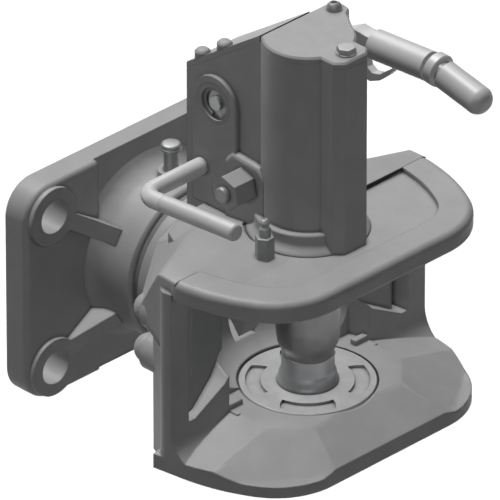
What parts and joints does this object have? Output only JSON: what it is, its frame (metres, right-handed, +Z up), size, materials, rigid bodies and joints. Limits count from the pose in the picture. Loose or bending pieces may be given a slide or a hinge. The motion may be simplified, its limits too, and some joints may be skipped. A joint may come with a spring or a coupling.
{
  "type": "automatic flange coupling",
  "caption": "Automatic trailer coupling with a bolt-on flange, swivelling catch jaw, lifting coupling pin, hand lever and release rod.",
  "frame": {"origin": "centre of the flange's back face, midway between its four holes", "axes": "+X out of the mouth along the swivel axis, +Z up along the coupling pin"},
  "size_m": [0.2384, 0.21, 0.2616],
  "materials": {
    "grey_casting": "cast steel with grey coating",
    "grey_sheet": "pressed plate with grey coating",
    "forged_lever": "forged steel with grey coating",
    "pin_steel": "hardened steel, phosphated",
    "wear_steel": "wear steel, as machined",
    "pad_steel": "wear pad, grey coated",
    "zinc_steel": "zinc plated fasteners",
    "spring_steel": "oil tempered wire",
    "bearing_bronze": "plain bronze bush",
    "seal_rubber": "black rubber",
    "grip_plastic": "grey moulded sleeve"
  },
  "bodies": {
    "flange": {"flange_casting": "grey_casting", "swivel_bush": "bearing_bronze", "neck_grease_plug": "zinc_steel", "rear_cap": "grey_sheet", "neck_seal": "seal_rubber"},
    "pin": {"coupling_pin": "pin_steel", "cross_pin": "pin_steel"},
    "lifter": {"lift_shaft": "pin_steel", "lift_arm": "pin_steel", "catch_disc": "pin_steel", "hand_lever": "forged_lever", "lever_grip": "grip_plastic", "grip_ring": "grip_plastic", "grip_end": "grip_plastic", "lever_washer": "zinc_steel"},
    "release": {"release_rod": "forged_lever", "release_grip": "grip_plastic", "catch_pawl": "pin_steel"},
    "trigger": {"mouth_trigger": "forged_lever"},
    "control": {"control_pin": "pin_steel"},
    "head": {"closing_spring": "spring_steel", "column_bolt": "zinc_steel", "control_guide": "zinc_steel", "control_spring": "spring_steel", "floor_screws": "zinc_steel", "jaw_casting": "grey_casting", "jaw_grease_nipple": "zinc_steel", "lift_housing": "grey_casting", "lower_bush": "wear_steel", "lug_screw": "zinc_steel", "pad_bolts_left": "zinc_steel", "pad_bolts_right": "zinc_steel", "pawl_spring": "spring_steel", "pin_wiper": "seal_rubber", "rear_cover": "grey_sheet", "rear_cover_screws": "zinc_steel", "shaft_bushes": "bearing_bronze", "shaft_circlip": "zinc_steel", "stop_pad_left": "pad_steel", "stop_pad_right": "pad_steel", "swivel_cotter": "zinc_steel", "swivel_nut": "pin_steel", "thrust_washer": "wear_steel", "tower_cover": "grey_sheet", "trigger_pin": "pin_steel", "upper_bush": "wear_steel", "wear_plate": "wear_steel"}
  },
  "joints": [
    {"name": "swivel", "type": "hinge", "parent": "flange", "child": "head", "pos_m": [0.038, 0, 0], "axis": [1, 0, 0], "range_deg": [-20, 20]},
    {"name": "lift", "type": "hinge", "parent": "head", "child": "lifter", "pos_m": [0.092, 0, 0.13], "axis": [0, -1, 0], "range_deg": [0, 73], "stiffness_Nm_per_rad": 3, "springref_deg": -51.57},
    {"name": "pin_slide", "type": "slide", "parent": "head", "child": "pin", "axis": [0, 0, 1], "range_m": [0, 0.0755]},
    {"name": "release_turn", "type": "hinge", "parent": "head", "child": "release", "pos_m": [0.082, 0, 0.086], "axis": [0, -1, 0], "range_deg": [0, 23], "stiffness_Nm_per_rad": 0.4, "springref_deg": -28.65},
    {"name": "trigger_swing", "type": "hinge", "parent": "head", "child": "trigger", "pos_m": [0.08, 0, 0.044], "axis": [0, 1, 0], "range_deg": [0, 10]},
    {"name": "control_pull", "type": "slide", "parent": "head", "child": "control", "axis": [0, -1, 0], "range_m": [0, 0.006], "stiffness_N_per_m": 800, "springref_m": -0.003, "deforming": ["control_spring"]}
  ],
  "couplings": [
    {"joint": "pin_slide", "follows": "lift", "m_per_rad": 0.05887},
    {"joint": "trigger_swing", "follows": "release_turn", "ratio": 0.4348}
  ]
}
